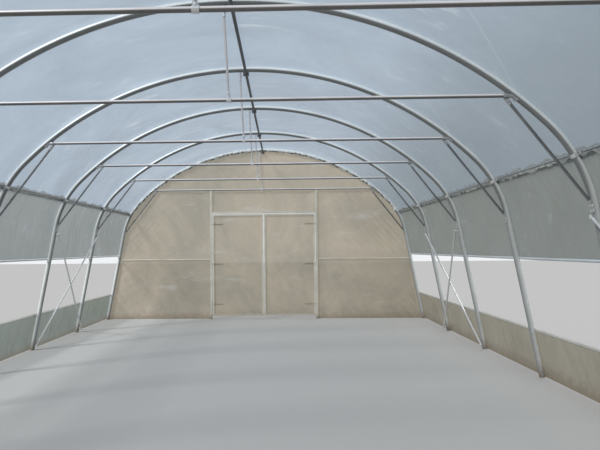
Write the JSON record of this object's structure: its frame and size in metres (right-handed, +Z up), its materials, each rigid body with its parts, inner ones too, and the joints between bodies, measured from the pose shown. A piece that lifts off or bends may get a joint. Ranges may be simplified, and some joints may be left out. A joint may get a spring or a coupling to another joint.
{
  "type": "polytunnel greenhouse",
  "caption": "Walk-in greenhouse of bent steel hoops under translucent film, with roll-up side curtains, open side vents, low skirts and film double doors at both ends.",
  "frame": {"origin": "on the ground, at the centre of the bounding box in plan", "axes": "+Y along the tunnel towards the end that the picture faces, +X to the right of that, +Z up"},
  "size_m": [6.5372, 12.1539, 3.5033],
  "materials": {
    "galvanised_tube": "galvanised, dull grey with a soft sheen",
    "ridge_tube": "galvanised, weathered darker",
    "bright_zinc": "bright zinc plate",
    "door_tube": "galvanised square tube",
    "roll_tube": "galvanised tube wrapped in film",
    "rail_aluminium": "mill finish",
    "roof_film": "translucent polythene, faintly blue",
    "curtain_film": "translucent polythene, dusty",
    "skirt_film": "translucent polythene, dusty with soil",
    "skirt_hem": "folded film over a flat rail",
    "end_film": "translucent polythene, warm grey"
  },
  "bodies": {
    "tunnel": {"far_door_header": "galvanised_tube", "far_door_posts": "galvanised_tube", "far_end_film_left": "end_film", "far_end_film_right": "end_film", "far_end_film_top": "end_film", "far_hinge_pins": "bright_zinc", "far_mid_rails": "galvanised_tube", "film_lock_rails": "rail_aluminium", "hoop_1": "galvanised_tube", "hoop_2": "galvanised_tube", "hoop_3": "galvanised_tube", "hoop_4": "galvanised_tube", "hoop_5": "galvanised_tube", "hoop_6": "galvanised_tube", "hoop_7": "galvanised_tube", "knee_braces": "galvanised_tube", "knee_clamps": "bright_zinc", "near_door_header": "galvanised_tube", "near_door_posts": "galvanised_tube", "near_end_film_left": "end_film", "near_end_film_right": "end_film", "near_end_film_top": "end_film", "near_hinge_pins": "bright_zinc", "near_mid_rails": "galvanised_tube", "ridge_saddles": "bright_zinc", "ridge_tube": "ridge_tube", "roll_tubes": "roll_tube", "roof_film": "roof_film", "side_curtain_left": "curtain_film", "side_curtain_right": "curtain_film", "skirt_film_left": "skirt_film", "skirt_film_right": "skirt_film", "skirt_rails": "skirt_hem", "tie_bar_hangers": "galvanised_tube", "tie_bars": "galvanised_tube", "tie_clamps": "bright_zinc", "wind_braces": "galvanised_tube"},
    "far_left_leaf": {"far_left_leaf_film": "end_film", "far_left_leaf_frame": "door_tube"},
    "far_right_leaf": {"far_right_leaf_film": "end_film", "far_right_leaf_frame": "door_tube"},
    "near_left_leaf": {"near_left_leaf_film": "end_film", "near_left_leaf_frame": "door_tube"},
    "near_right_leaf": {"near_right_leaf_film": "end_film", "near_right_leaf_frame": "door_tube"}
  },
  "joints": [
    {"name": "far_left_leaf_hinge", "type": "hinge", "parent": "tunnel", "child": "far_left_leaf", "pos_m": [-1.061, 6.06555, 0], "axis": [0, 0, 1], "range_deg": [0, 180]},
    {"name": "far_right_leaf_hinge", "type": "hinge", "parent": "tunnel", "child": "far_right_leaf", "pos_m": [1.061, 6.06555, 0], "axis": [0, 0, -1], "range_deg": [0, 180]},
    {"name": "near_left_leaf_hinge", "type": "hinge", "parent": "tunnel", "child": "near_left_leaf", "pos_m": [-1.061, -6.02945, 0], "axis": [0, 0, 1], "range_deg": [0, 180]},
    {"name": "near_right_leaf_hinge", "type": "hinge", "parent": "tunnel", "child": "near_right_leaf", "pos_m": [1.061, -6.02945, 0], "axis": [0, 0, -1], "range_deg": [0, 180]}
  ]
}
